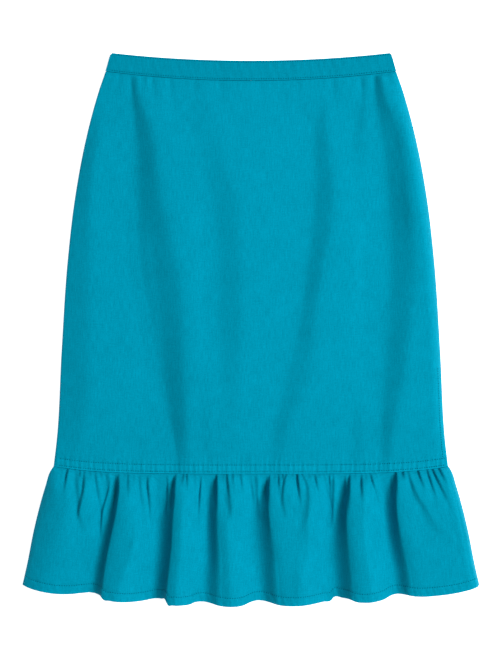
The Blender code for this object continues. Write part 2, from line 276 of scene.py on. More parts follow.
def fold_height(x, y):
    """Height of the long folds: each is a steep step to the right with a long gentle fall."""
    down = np.clip((BAND_SEAM_Y - y) / PANEL_LENGTH, 0.0, 1.0)
    height = np.zeros_like(x)
    for fold in FOLDS:
        aside = x / MM - curved(down, fold, 1)
        turned = aside / curved(down, fold, 3)
        step = turned / np.sqrt(np.sqrt(1.0 + turned ** 4)) * np.exp(-(aside / FOLD_REACH) ** 2)
        height += 0.5 * curved(down, fold, 2) * step
    return height * MM


def pucker_depth(x, y, across):
    """Depth of the small puckers that hang from the waistband's seam."""
    below = np.maximum(band_seam(across) - y, 0.0) / MM
    depth = np.zeros_like(x)
    for start, lean, deep, length in PUCKERS:
        line = start + lean * below / length
        aside = (x / MM - line) / (PUCKER_WIDTH + PUCKER_SPREAD * below)
        fade = np.tanh(below / PUCKER_START) * np.exp(-(below / length) ** 2)
        depth += PUCKER * deep * fade * np.exp(-aside ** 2)
    return depth * MM


def panel_lift(across, x, y, half):
    """Space between the front panel and the back."""
    down = np.clip((BAND_SEAM_Y - y) / PANEL_LENGTH, 0.0, 1.0)
    low = BAND_LIFT + (PANEL_LIFT - BAND_LIFT) * smooth(down / RISE_PART)
    high = STRIP_LIFT + (low - STRIP_LIFT) * smooth((1.0 - down) / FALL_PART)
    inside = side_distance(across, half)
    up = inside / (curved(down, LEFT_RUN) * MM)
    slope = up / (1.0 + up ** SLOPE_CORNER) ** (1.0 / SLOPE_CORNER)
    bow = np.sqrt(1.0 - np.clip(1.0 - inside / RIGHT_RUN, 0.0, 1.0) ** 2)
    rise = np.where(across < 0.0, slope, bow)
    start = smooth((band_seam(across) - y) / FOLD_START)
    return np.maximum(high + fold_height(x, y) * start, LOWEST_PART * high) * rise


# %% [markdown]
# The flounce is a straight strip, gathered into the seam. Under the seam it has sixty or so short
# gathers. Lower down they run together into seven broad waves with six deep valleys between them.
# Each wave is highest at its left lip and falls gently to the right. The next wave rises steeply
# from its low side, so a valley is given by where a wave begins to fall, its low side and that lip.

# %% Form of the flounce
PUFF_RUN = 0.14
SEAM_LIP = 1.8 * MM
WAVE_SHARE_BACK = 0.30
WAVE_ERODE = 0.035

# place across as a part of the half width, height of the back's waves in mm before sharing
WAVES = [
    (-1.000, 0.0), (-0.930, 7.0), (-0.800, 11.5), (-0.730, 9.0), (-0.668, 2.0), (-0.610, 14.0),
    (-0.480, 15.0), (-0.410, 4.0), (-0.377, 1.5), (-0.330, 14.5), (-0.275, 16.0), (-0.175, 5.0),
    (-0.075, 15.0), (0.000, 9.0), (0.055, 3.0), (0.110, 13.0), (0.165, 15.0), (0.235, 12.0),
    (0.315, 15.0), (0.345, 14.0), (0.390, 2.0), (0.422, 3.0), (0.475, 13.0), (0.530, 15.0),
    (0.610, 12.0), (0.662, 3.0), (0.705, 5.0), (0.800, 11.5), (0.925, 7.5), (1.000, 0.0),
]
# place across, height in mm of the crests, which CREST_RISE then raises
CRESTS = [
    (-1.00, 1.0), (-0.985, 3.2), (-0.95, 6.2), (-0.88, 9.2), (-0.80, 11.2), (-0.70, 13.0),
    (-0.61, 14.2), (-0.50, 14.8), (-0.42, 15.6), (-0.35, 16.6), (-0.24, 15.4), (-0.10, 14.2),
    (0.00, 15.0), (0.13, 14.4), (0.23, 14.4), (0.33, 15.2), (0.47, 16.2), (0.58, 15.0),
    (0.70, 14.8), (0.78, 14.0), (0.86, 13.2), (0.93, 12.2), (0.97, 10.9), (0.988, 8.2),
    (1.00, 1.0),
]
# place across, sag of the hem below its corners in mm
HEM = [
    (-1.000, 0.0), (-0.966, 3.6), (-0.913, 7.4), (-0.843, 10.6), (-0.790, 11.2), (-0.738, 10.2),
    (-0.700, 9.6), (-0.665, 11.0), (-0.653, 12.2), (-0.644, 15.6), (-0.615, 17.6), (-0.560, 19.7),
    (-0.510, 20.2), (-0.460, 19.2), (-0.425, 17.3), (-0.390, 16.5), (-0.369, 17.2), (-0.362, 21.8),
    (-0.340, 23.0), (-0.300, 23.5), (-0.265, 22.8), (-0.245, 20.8), (-0.215, 20.2), (-0.175, 21.7),
    (-0.140, 24.0), (-0.080, 25.5), (-0.035, 24.4), (0.000, 20.6), (0.020, 19.2), (0.055, 19.4),
    (0.087, 21.1), (0.130, 23.7), (0.190, 24.4), (0.245, 23.7), (0.315, 20.9), (0.353, 18.9),
    (0.361, 16.2), (0.400, 15.6), (0.432, 16.4), (0.455, 18.8), (0.490, 19.7), (0.543, 18.8),
    (0.578, 16.8), (0.613, 12.2), (0.640, 10.4), (0.670, 10.6), (0.715, 12.2), (0.750, 12.4),
    (0.806, 11.4), (0.876, 9.0), (0.946, 4.8), (1.000, 0.0),
]
# part of the depth, x of the wave that ends here, of its low side and of the next wave's lip,
# the part of the height that it loses, and how soft the lip is
VALLEYS = [
    [(0.03, -185, -170.3, -166.5, 0.60, 1.2), (0.13, -215, -171.5, -166.0, 0.96, 1.0),
     (0.33, -235, -180.5, -170.0, 0.96, 1.0), (0.58, -252, -194.5, -178.0, 0.96, 1.0),
     (0.86, -266, -203.5, -184.6, 0.95, 1.2), (1.00, -270, -207.5, -187.4, 0.94, 1.2)],
    [(0.02, -140, -116.5, -94.0, 0.35, 1.0), (0.10, -150, -117.5, -94.4, 0.70, 1.0),
     (0.20, -158, -120.6, -95.2, 0.92, 1.0), (0.33, -148, -122.0, -97.3, 0.98, 1.0),
     (0.58, -150, -124.5, -99.8, 0.98, 1.0), (0.86, -168, -127.5, -104.4, 0.98, 1.0),
     (1.00, -172, -130.0, -106.0, 0.96, 1.0)],
    [(0.03, -75, -54.0, -42.2, 0.60, 1.3), (0.13, -82, -57.0, -42.0, 0.86, 1.5),
     (0.33, -88, -59.5, -41.0, 0.88, 1.9), (0.58, -90, -60.4, -37.0, 0.86, 2.5),
     (0.86, -95, -62.9, -35.5, 0.70, 2.8), (1.00, -96, -64.0, -35.0, 0.64, 2.8)],
    [(0.03, -10, 15.4, 21.5, 0.65, 1.1), (0.13, -15, 13.5, 22.5, 0.90, 1.1),
     (0.23, -22, 3.0, 23.0, 0.90, 1.1), (0.36, -30, -2.0, 24.0, 0.94, 1.1),
     (0.58, -30, 0.0, 30.6, 0.96, 1.6), (0.86, -28, 6.5, 36.0, 0.80, 2.4),
     (1.00, -28, 8.5, 38.0, 0.74, 2.5)],
    [(0.03, 85, 114.3, 120.3, 0.50, 1.1), (0.13, 80, 110.5, 121.6, 0.90, 1.1),
     (0.33, 70, 104.5, 120.4, 0.95, 1.2), (0.45, 62, 98.0, 121.6, 0.97, 1.4),
     (0.58, 58, 94.5, 124.4, 0.98, 1.6), (0.86, 58, 98.0, 129.0, 0.96, 1.7),
     (1.00, 58, 99.0, 130.0, 0.94, 1.7)],
    [(0.03, 150, 171.0, 182.0, 0.55, 1.1), (0.13, 145, 167.0, 183.0, 0.92, 1.1),
     (0.33, 140, 166.4, 184.0, 0.97, 1.1), (0.58, 142, 169.0, 192.0, 0.94, 1.8),
     (0.86, 148, 177.0, 202.5, 0.72, 2.5), (1.00, 150, 179.0, 204.5, 0.64, 2.5)],
]
# part of the depth, x, depth and half width in mm
GROOVES = [
    [(0.00, -180.7, 3, 1.8), (0.10, -180.1, 5.5, 2.6), (0.20, -183, 5, 2.4), (0.30, -187.5, 4.5, 2),
     (0.45, -190, 4, 2.2), (0.55, -190.5, 0, 3)],
    [(0.00, -221.5, 3, 2.4), (0.12, -219.5, 5, 3.4), (0.24, -218.0, 4, 3.2), (0.36, -217.3, 3.5, 3),
     (0.45, -212, 1.5, 4), (0.52, -208, 0, 4)],
    [(0.00, -211.0, 3.5, 2.0), (0.12, -210.8, 5.5, 2.4), (0.25, -214.8, 4, 2.4),
     (0.33, -217, 2, 2.4), (0.37, -217.5, 0, 2.4)],
    [(0.10, -140, 1, 4), (0.20, -138, 3.5, 4), (0.32, -135.5, 5, 4.5), (0.44, -134, 3, 4.5),
     (0.56, -132, 1.5, 5), (0.66, -130, 0, 5)],
    [(0.00, -106.4, 3, 2), (0.12, -106.4, 8.5, 3.2), (0.22, -107.2, 7.5, 3.4), (0.36, -107.7, 0, 3)],
    [(0.00, -95.0, 3, 1.6), (0.10, -96.6, 5, 1.8), (0.20, -98.0, 5, 2.2), (0.32, -99, 0, 2)],
    [(0.08, -66, 1, 4), (0.15, -67, 1.8, 4), (0.30, -70.9, 1.4, 4), (0.42, -71.5, 0, 4)],
    [(0.05, -32, 1.2, 3), (0.17, -31.6, 2, 3), (0.27, -26.5, 1.4, 3.5), (0.38, -24, 0, 4)],
    [(0.00, 7.1, 3, 2), (0.08, 6.5, 8, 4.2), (0.18, 5.5, 6.5, 4.8), (0.30, 8, 1.4, 5),
     (0.40, 9, 0, 5)],
    [(0.00, 45.1, 3, 1.4), (0.08, 41.3, 3.6, 1.8), (0.18, 39.4, 2.8, 2.4), (0.28, 42, 1.6, 3),
     (0.36, 44.5, 0, 3)],
    [(0.00, 64.5, 3, 1.6), (0.08, 70.5, 3.4, 2.2), (0.16, 71.5, 3, 3.4), (0.30, 68.6, 3.4, 5),
     (0.46, 67.3, 3.4, 6), (0.62, 65, 3.2, 7), (0.80, 60, 1.2, 8), (1.00, 59, 0.2, 8)],
    [(0.00, 104.7, 3, 1.8), (0.10, 103.0, 8.5, 4.0), (0.25, 101.8, 10, 4.2), (0.36, 101.0, 9, 4.4),
     (0.45, 99, 0, 3)],
    [(0.10, 152.3, 1.2, 3), (0.25, 154.8, 1.5, 3), (0.36, 155.5, 0, 3)],
    [(0.00, 198.6, 2, 1.8), (0.10, 202.5, 3.8, 2.4), (0.18, 207, 3.2, 3.5), (0.28, 216, 3, 4.5),
     (0.42, 226, 2.5, 7), (0.56, 245, 1.2, 10), (0.70, 252, 0, 10)],
]
# x at the seam, shift of the lower end in mm, depth as a part of a full gather's, length in mm
GATHERS = [
    (-241.0, -1, 0.30, 6), (-233.7, -3, 0.65, 9), (-218.5, 0, 0.55, 4), (-205.9, 1, 0.50, 4),
    (-199.0, 5, 0.65, 18), (-192.6, 4, 0.60, 7), (-185.6, 1, 0.45, 8), (-173.8, 1, 0.75, 8),
    (-162.2, 0, 0.50, 3), (-157.7, 1, 0.45, 9), (-150.1, 0, 0.40, 5), (-143.5, 3, 0.70, 14),
    (-138.1, 0, 0.50, 5), (-133.6, 3, 1.00, 20), (-129.8, 0, 0.45, 4), (-123.4, 1, 0.35, 6),
    (-117.8, 3, 0.60, 10), (-109.6, 0, 0.70, 7), (-100.4, 0, 0.60, 6), (-87.4, -1, 0.60, 4),
    (-82.9, 1, 0.45, 9), (-72.5, -1, 0.70, 15), (-64.8, -3, 1.00, 18), (-60.7, 1, 0.45, 5),
    (-54.4, 1, 0.70, 12), (-51.1, 0, 0.55, 5), (-45.5, 0, 1.00, 14), (-37.0, 0, 0.55, 3),
    (-32.2, 3, 0.55, 14), (-24.6, 0, 0.45, 5), (-15.1, 2, 0.75, 8), (-8.1, 0, 0.40, 5),
    (-3.0, 2, 0.85, 10), (3.0, 0, 0.50, 5), (16.0, 3, 0.85, 9), (21.7, -2, 0.80, 9),
    (28.0, 0, 0.35, 4), (33.1, 0, 0.60, 7), (38.2, 0, 0.45, 3), (50.6, 1, 0.35, 4),
    (56.6, 2, 0.75, 11), (71.5, 2, 0.35, 4), (78.7, 4, 0.65, 10), (84.5, 1, 0.35, 4),
    (90.2, 6, 0.60, 13), (97.1, 0, 0.80, 9), (112.3, 2, 0.65, 5), (117.4, 0, 0.70, 10),
    (123.1, -3, 0.90, 14), (130.1, 0, 0.50, 3), (138.1, -1, 0.75, 10), (143.4, 0, 0.45, 4),
    (148.9, 8, 0.55, 14), (156.1, 1, 0.50, 4), (165.0, 3, 0.85, 9), (169.7, 0, 0.60, 5),
    (174.5, 2, 0.85, 10), (178.7, 0, 0.60, 3), (181.5, -1, 0.90, 9), (190.3, 0, 0.50, 3),
    (209.3, 4, 0.75, 7), (220.8, 6, 0.75, 11), (227.7, 12, 0.55, 14), (236.0, 6, 0.35, 7),
]
# sizes that aren't times MM are in mm, like the tables', or parts of a whole; a groove's fall and
# lip are parts of its half width
GROOVE_FALL = 2.6
GROOVE_LIP = 1.4
GROOVE_WIDTH = 1.35
GROOVE_SHIFT = 0.8
GATHER_RISE = 4.0 * MM
GATHER_RUN = 3.2 * MM
GATHER_AHEAD = 1.9 * MM
GATHER_END = 45.0 * MM
GATHER_SIDE = 12.0 * MM
GATHER_DEPTH = 13.0 * MM
GATHER_LENGTH = 2.0
GATHER_LEAN = 1.5
GATHER_WIDTH = 2.3 * MM
GATHER_SPREAD = 0.3
DEEPEST = 0.95
LEAST_HEIGHT = 0.5 * MM
CREST_RISE = 1.35
START_SOFT = 0.4
FALL_CORNER = 6
LIP_BEND = 2.6
SHOULDER = 0.16
SHOULDER_RUN = 7.0


def puff(depth):
    """How far the waves have filled out at a part of the flounce's depth."""
    below = np.maximum(depth - SEAM_LIP / FLOUNCE_SIDE, 0.0)
    return (1.0 - np.exp(-below / PUFF_RUN)) / (1.0 - np.exp(-1.0 / PUFF_RUN))


def valley_part(across, depth, half):
    """Part of the height that the valleys take away: 0 on the crests."""
    x = across * half / MM
    taken = np.zeros_like(x)
    for valley in VALLEYS:
        start, low, lip = [curved(depth, valley, k) for k in (1, 2, 3)]
        part, soft = [eased(depth, valley, k) for k in (4, 5)]
        along = np.maximum((x - start) / (low - start), 0.0)
        along = (1.0 + START_SOFT) * along ** 2 / (along + START_SOFT)
        fallen = along / (1.0 + along ** FALL_CORNER) ** (1.0 / FALL_CORNER)
        left_of_lip = (1.0 - np.clip((x - low) / (lip - low), 0.0, 1.0) ** LIP_BEND) ** soft
        shoulder = SHOULDER * fallen * np.exp(-np.maximum(x - lip, 0.0) / SHOULDER_RUN)
        taken = 1.0 - (1.0 - taken) * (1.0 - part * fallen * left_of_lip) * (1.0 - part * shoulder)
    return taken


def groove_shape(aside):
    """A groove across its length: a gentle fall on the left and a steep rise on the right."""
    fall = np.exp(-np.maximum(-aside / GROOVE_FALL, 0.0) ** 1.4)
    return fall * (1.0 - np.clip(aside / GROOVE_LIP, 0.0, 1.0) ** 2) ** 1.3


def groove_depth(across, depth, half):
    """Depth of the narrow folds that end part of the way down."""
    x = across * half / MM
    deep = np.zeros_like(x)
    for groove in GROOVES:
        aside = (x - curved(depth, groove, 1)) / (GROOVE_WIDTH * eased(depth, groove, 3))
        deep += eased(depth, groove, 2) * groove_shape(aside + GROOVE_SHIFT)
    return deep * MM


def gather_depth(across, depth, half):
    """Depth of the short gathers under the seam."""
    below = depth * FLOUNCE_SIDE
    deep = np.zeros_like(below)
    for start, shift, part, reach in GATHERS:
        along = below / (GATHER_LENGTH * reach * MM)
        line = (start + shift * np.minimum(along, GATHER_LEAN)) * MM
        aside = (across * half - line) / (GATHER_WIDTH * (1.0 + GATHER_SPREAD * along))
        deep += part * np.exp(-along ** 2) * groove_shape(aside)
    return GATHER_DEPTH * np.tanh(deep)


def wave_height(across, depth, half):
    """Height of the front flounce over its lowest level."""
    below = np.maximum(depth * FLOUNCE_SIDE - SEAM_LIP, 0.0)
    crest = CREST_RISE * curved(across, CRESTS, 1) * MM * puff(depth)
    seam = panel_lift(across, across * half, flounce_seam(across), half) * (1.0 - puff(depth))
    lift = GATHER_RISE * smooth((below + GATHER_AHEAD) / GATHER_RUN)
    lift = lift * np.exp(-(below / GATHER_END) ** 2)
    inside = np.clip(side_distance(across, half) / GATHER_SIDE, 0.0, 1.0)
    high = crest + seam + lift * inside
    height = high * (1.0 - valley_part(across, depth, half))
    for deep in (groove_depth(across, depth, half), gather_depth(across, depth, half)):
        height = height * (1.0 - DEEPEST * np.tanh(deep / np.maximum(height, LEAST_HEIGHT)))
    return height


# %% [markdown]
# A sheet of cloth starts as a grid. Each of its points is moved onto the form, and a Solidify
# modifier then gives the sheet its thickness. The lines of the grid needn't be evenly spaced: they
# are closest where the cloth rolls over an edge or carries a row of stitches.
# The edge of real cloth is a fold, so a sheet rolls down in a quarter circle at its edges.

# %% Sheets of cloth
SHEET = 0.6 * MM
FOLDED = 1.5 * MM
STITCH_GROOVE = 0.35 * MM
ROLL_STEPS = (0.0, 0.06, 0.22, 0.5, 0.8, 1.0)


def roll(inside, radius):
    """How far cloth has sunk at a distance inside a rolled edge."""
    rest = np.clip(1.0 - inside / radius, 0.0, 1.0)
    return radius * (1.0 - np.sqrt(1.0 - rest ** 2))


def lines_across(count, radius, half):
    """Stations across a piece from -1 to 1, with close ones where its sides roll down."""
    close = [1.0 - part * radius / half for part in ROLL_STEPS[:-1]]
    limit = 1.0 - radius / half
    inner = list(np.linspace(-limit, limit, count))
    return np.array(sorted([-place for place in close] + inner + close))


def normals_of(points):
    """Upward normals of a grid of points whose rows run down the picture."""
    along = np.gradient(points, axis=1)
    down = np.gradient(points, axis=0)
    normal = -np.cross(along, down)
    return normal / np.linalg.norm(normal, axis=2, keepdims=True)


def lengths(points, axis):
    """Length along the grid's lines from their first point."""
    steps = np.linalg.norm(np.diff(points, axis=axis), axis=2)
    start = np.zeros_like(np.take(steps, [0], axis=axis))
    return np.concatenate([start, np.cumsum(steps, axis=axis)], axis=axis)


def drop_selection():
    """Nothing selected, so that the next operator acts on its own new piece alone."""
    bpy.ops.object.select_all(action="DESELECT")


def write_layers(mesh, places, texture, layers):
    """The cloth's own map, in metres, and its named values, on the grid's points."""
    loops = np.empty(len(mesh.loops), dtype=np.int32)
    mesh.loops.foreach_get("vertex_index", loops)
    flat = texture.reshape(-1, 2)[places]
    while mesh.uv_layers:
        mesh.uv_layers.remove(mesh.uv_layers[0])
    mesh.uv_layers.new(name="cloth").data.foreach_set("uv", flat[loops].ravel())
    for name, values in layers.items():
        layer = mesh.attributes.new(name, "FLOAT", "POINT")
        layer.data.foreach_set("value", values.reshape(-1)[places].astype(np.float32))


def lay_cloth(name, points, thick, layers, facing=1):
    """A sheet of cloth whose outer side has these points, a row for each line down the piece."""
    rows, columns = points.shape[:2]
    drop_selection()
    bpy.ops.mesh.primitive_grid_add(x_subdivisions=columns - 1, y_subdivisions=rows - 1, size=1.0)
    piece = bpy.context.object
    piece.name = name
    mesh = piece.data
    mesh.name = name
    corners = np.empty(len(mesh.vertices) * 3)
    mesh.vertices.foreach_get("co", corners)
    corners = corners.reshape(-1, 3)
    i = np.rint((corners[:, 0] + 0.5) * (columns - 1)).astype(int)
    j = np.rint((0.5 - corners[:, 1]) * (rows - 1)).astype(int)
    places = j * columns + i
    mesh.vertices.foreach_set("co", points.reshape(-1, 3)[places].ravel())
    middle = lengths(points, 1)[:, columns // 2][:, None]
    texture = np.stack([lengths(points, 1) - middle, -lengths(points, 0)], axis=2)
    write_layers(mesh, places, texture, layers)
    weights = np.broadcast_to(thick, (rows, columns)).reshape(-1)[places] / FOLDED
    group = piece.vertex_groups.new(name="thick")
    for level in np.unique(np.round(weights, 3)):
        chosen = np.nonzero(np.round(weights, 3) == level)[0]
        group.add([int(c) for c in chosen], float(level), "REPLACE")
    if facing < 0:
        mesh.flip_normals()
    mesh.update()
    wall = piece.modifiers.new("wall", "SOLIDIFY")
    wall.thickness = FOLDED
    wall.offset = -1.0
    wall.vertex_group = "thick"
    wall.thickness_vertex_group = 0.0
    bpy.context.view_layer.objects.active = piece
    bpy.ops.object.modifier_apply(modifier="wall")
    piece.data.shade_smooth()
    print(name, "has", len(piece.data.polygons), "faces")
    return piece


# %% [markdown]
# Stitches are short rounded grains of thread, a little sunk into the cloth, with a needle hole
# between each two. A needle hole is a small dark disc, which paints the shade inside the hole.
# One stitch is modelled as a stretched ball, and its points are then copied along a row, turned to
# follow it. All rows become one mesh, which costs far less than an object for each stitch.

# %% Rows of stitches
STITCH_PITCH = 3.1 * MM
STITCH_LENGTH = 2.2 * MM
STITCH_WIDTH = 0.6 * MM
STITCH_THICK = 0.48 * MM
# a needle hole is a small dark disc: painted shade in the hole
HOLE_RADIUS = 0.65 * MM
HOLE_RISE = 0.32 * MM
HOLE_SIDES = 6


def one_stitch():
    """Points and faces of one stitch, lying along X."""
    drop_selection()
    bpy.ops.mesh.primitive_uv_sphere_add(segments=8, ring_count=5, radius=0.5)
    ball = bpy.context.object
    bpy.ops.object.mode_set(mode="EDIT")
    bpy.ops.mesh.select_all(action="SELECT")
    bpy.ops.transform.rotate(value=math.pi / 2, orient_axis="Y", center_override=(0.0, 0.0, 0.0))
    bpy.ops.transform.resize(value=(STITCH_LENGTH, STITCH_WIDTH, STITCH_THICK))
    bpy.ops.object.mode_set(mode="OBJECT")
    points = np.array([v.co[:] for v in ball.data.vertices])
    faces = [tuple(p.vertices) for p in ball.data.polygons]
    bpy.data.objects.remove(ball, do_unlink=True)
    return points, faces


STITCH_POINTS, STITCH_FACES = one_stitch()
stitch_rows = []


def unit(vectors):
    """The same directions, each one long."""
    return vectors / np.linalg.norm(vectors, axis=1, keepdims=True)


def sew(line, normals):
    """Keep a row of stitches to be made, along a line of points with their normals."""
    steps = np.linalg.norm(np.diff(line, axis=0), axis=1)
    run = np.concatenate([[0.0], np.cumsum(steps)])
    marks = np.arange(STITCH_PITCH, run[-1] - STITCH_PITCH / 2, STITCH_PITCH)

    def at(distances, values):
        """The line's values at distances along it."""
        return np.stack([np.interp(distances, run, values[:, k]) for k in range(3)], axis=1)

    place = at(marks, line)
    along = unit(at(marks + STITCH_PITCH / 4, line) - place)
    side = unit(np.cross(at(marks, normals), along))
    stitch_rows.append((place, along, side, np.cross(along, side)))


def sew_across(points, normals, distances, mark, margin):
    """Sew along the grid's row at this distance from an edge, but for a margin of its points."""
    row = int(np.argmin(np.abs(distances[:, 0] - mark)))
    sew(points[row, margin:-margin], normals[row, margin:-margin])


def trim_object(name, mesh):
    """A new object for a mesh of thread or holes."""
    piece = bpy.data.objects.new(name, mesh)
    bpy.context.scene.collection.objects.link(piece)
    print(name, "has", len(mesh.polygons), "faces")
    return piece


def make_hole_shades(name):
    """Painted shade in the needle holes between the stitches, as one mesh of small dark discs."""
    points = []
    faces = []
    for place, along, side, up in stitch_rows:
        for k in range(len(place)):
            middle = place[k] + along[k] * STITCH_PITCH / 2 + up[k] * HOLE_RISE
            faces.append(tuple(range(len(points), len(points) + HOLE_SIDES)))
            for corner in range(HOLE_SIDES):
                turn = 2.0 * math.pi * corner / HOLE_SIDES
                spoke = along[k] * math.cos(turn) + side[k] * math.sin(turn)
                points.append(middle + HOLE_RADIUS * spoke)
    mesh = bpy.data.meshes.new(name)
    mesh.from_pydata([tuple(point) for point in points], [], faces)
    return trim_object(name, mesh)


def make_stitches(name):
    """All rows that were kept, as one mesh of thread."""
    points = []
    for place, along, side, up in stitch_rows:
        for k in range(len(place)):
            frame_of_stitch = np.stack([along[k], side[k], up[k]])
            points.append(place[k] + STITCH_POINTS @ frame_of_stitch)
    count = len(STITCH_POINTS)
    faces = []
    for k in range(len(points)):
        faces += [tuple(corner + k * count for corner in face) for face in STITCH_FACES]
    mesh = bpy.data.meshes.new(name)
    mesh.from_pydata(np.concatenate(points).tolist(), [], faces)
    mesh.shade_smooth()
    return trim_object(name, mesh)


# %% [markdown]
# ## The front panel
# Its upper edge goes under the waistband and its lower edge is folded over the flounce's seam. The
# strip along that edge is thicker, because the seam's allowances are pressed up behind it and
# stitched down, so it stands out a little and is finely puckered between its two rows of stitches.

# %% Rows of a piece
ROLL_FRONT = 2.0 * MM
ROLL_BACK = 1.3 * MM
ROLL_FOLD = 0.5 * MM
ROW_SPREAD = 0.7 * MM
UPPER_ROW = 11.2 * MM
LOWER_ROW = 2.6 * MM
STRIP_BORDER = 1.0 * MM


def stations(count, near_start, near_end, length):
    """Distances down a piece as (part, shift) pairs: even ones, and close ones near both ends.

    near_start and near_end are distances in metres from the piece's upper and lower edges."""
    first = max(near_start) / length
    last = 1.0 - max(near_end) / length
    steps = [(0.0, distance) for distance in sorted(near_start)]
    steps += [(part, 0.0) for part in np.linspace(first, last, count + 2)[1:-1]]
    steps += [(1.0, -distance) for distance in sorted(near_end, reverse=True)]
    return np.array(steps)


def around(distance):
    """A stitched row's own line and one on each side of it."""
    return [distance - ROW_SPREAD, distance, distance + ROW_SPREAD]


def fold_lines(radius):
    """Close lines where an edge rolls down."""
    return [part * radius for part in ROLL_STEPS]


def spread(steps, upper, lower):
    """Height on the plane of each station, between an upper and a lower line."""
    part = steps[:, 0][:, None]
    shift = steps[:, 1][:, None]
    return upper[None, :] + (lower - upper)[None, :] * part - shift


def row_mask(distances, marks):
    """1 on the stitched rows and 0 elsewhere, for each station's distance from an edge."""
    return sum(np.clip(1.0 - np.abs(distances - mark) / ROW_SPREAD, 0.0, 1.0) for mark in marks)


def inside_edge(distances, width):
    """1 on the folded strip along an edge and 0 beyond it."""
    return smooth((width - distances) / STRIP_BORDER + 0.5)


# %% The front panel's sheet
PANEL_COLUMNS = 390
PANEL_ROWS = 62
# a middling half width, which spaces the grid's lines
PANEL_HALF = 240.0 * MM
SIDE_ROW = 5.5 * MM
SIDE_ROW_TOP = WAIST_Y - 388.0 * MM
SIDE_MARGIN = 6
PANEL_TOP_LINES = [place * MM for place in (2, 4, 6.5, 9.5, 13, 17, 21.5, 26.5)]
STRIP_LINES = [5.0 * MM, 7.5 * MM]
STRIP_PUCKER = 0.55 * MM
STRIP_PUCKER_SPACING = 6.0 * MM
STRIP_SOFT = 2.0 * MM
# the strip is coloured lighter along its folded lower edge
STRIP_EDGE_LIGHTER = 0.22
STRIP_EDGE_LIGHTER_WIDTH = 2.2 * MM
STRIP_TONE = 0.03


def front_panel():
    """The front panel, with its stitched strip above the flounce."""
    low = fold_lines(ROLL_FOLD) + around(LOWER_ROW) + STRIP_LINES + around(UPPER_ROW)
    steps = stations(PANEL_ROWS, fold_lines(ROLL_FOLD) + PANEL_TOP_LINES, low, PANEL_LENGTH)
    lines = lines_across(PANEL_COLUMNS, ROLL_FRONT, PANEL_HALF)
    upper = band_seam(lines) - SEAM_GAP / 2
    lower = flounce_seam(lines) + SEAM_GAP / 2
    y = spread(steps, upper, lower)
    across = np.broadcast_to(lines, y.shape)
    half = skirt_half(y)
    x = across * half
    over_seam = y - lower
    strip = inside_edge(over_seam, SEAM_STRIP)
    join = np.clip((y - (band_seam(across) - EDGE_RUN)) / EDGE_RUN, 0.0, 1.0)
    z = 2.0 * CLOTH + SEAM_GAP + panel_lift(across, x, y, half)
    z = z + SEAM_STRIP_RISE * strip + (BAND_CLOTH - CLOTH) * join
    z = z - pucker_depth(x, y, across)
    inside_strip = strip * smooth(over_seam / STRIP_SOFT)
    z = z + STRIP_PUCKER * ripple(x, STRIP_PUCKER_SPACING, 0.4) * inside_strip
    z = z - roll(side_distance(across, half), ROLL_FRONT)
    z = z - roll(over_seam, ROLL_FOLD) - roll(upper - y, ROLL_FOLD)
    stitched = row_mask(over_seam, (LOWER_ROW, UPPER_ROW))
    points = np.stack([x, y, z - STITCH_GROOVE * stitched], axis=2)
    normals = normals_of(points)
    for mark in (LOWER_ROW, UPPER_ROW):
        sew_across(points, normals, over_seam, mark, SIDE_MARGIN)
    column = int(np.argmin(np.abs((1.0 - lines) * PANEL_HALF - SIDE_ROW)))
    low_part = (points[:, column, 1] < SIDE_ROW_TOP) & (over_seam[:, column] > UPPER_ROW)
    sew(points[low_part, column], normals[low_part, column])
    thick = np.where(over_seam < UPPER_ROW, FOLDED, SHEET)
    retinted = STRIP_EDGE_LIGHTER * smooth(1.0 - over_seam / STRIP_EDGE_LIGHTER_WIDTH)
    tone = 1.0 + retinted + STRIP_TONE * strip
    return lay_cloth("front_panel_cloth", points, thick, {"stitched": stitched, "tone": tone})


front_cloth = front_panel()

# %% [markdown]
# ## The waistband
# The band is cloth folded double, so it is made as a thicker sheet whose rim is rounded by a Bevel
# modifier. One row of stitches runs close under the top edge and one close above the seam. Between
# them the band is faintly rippled.

# %% The waistband's sheets
BAND_THICK = 2.2 * MM
BAND_ROUND = 0.5 * MM
BAND_CORNER = 2.5 * MM
TOP_ROW = 1.8 * MM
BOTTOM_ROW = 2.0 * MM
BAND_HEIGHT = 23.3 * MM
BAND_RIPPLE = 0.22 * MM
BAND_RIPPLE_ACROSS = 11.0 * MM
BAND_RIPPLE_DOWN = 17.0 * MM
BAND_MARGIN = 2
BAND_CORNER_RUN = 6.0 * MM
BAND_MIDDLE_RUN = 5.0 * MM
BAND_COLUMNS = 200
BAND_ROWS = 9
# painted shade: the waistband is coloured darker than the rest of the skirt
BAND_PAINTED_SHADE = 0.92


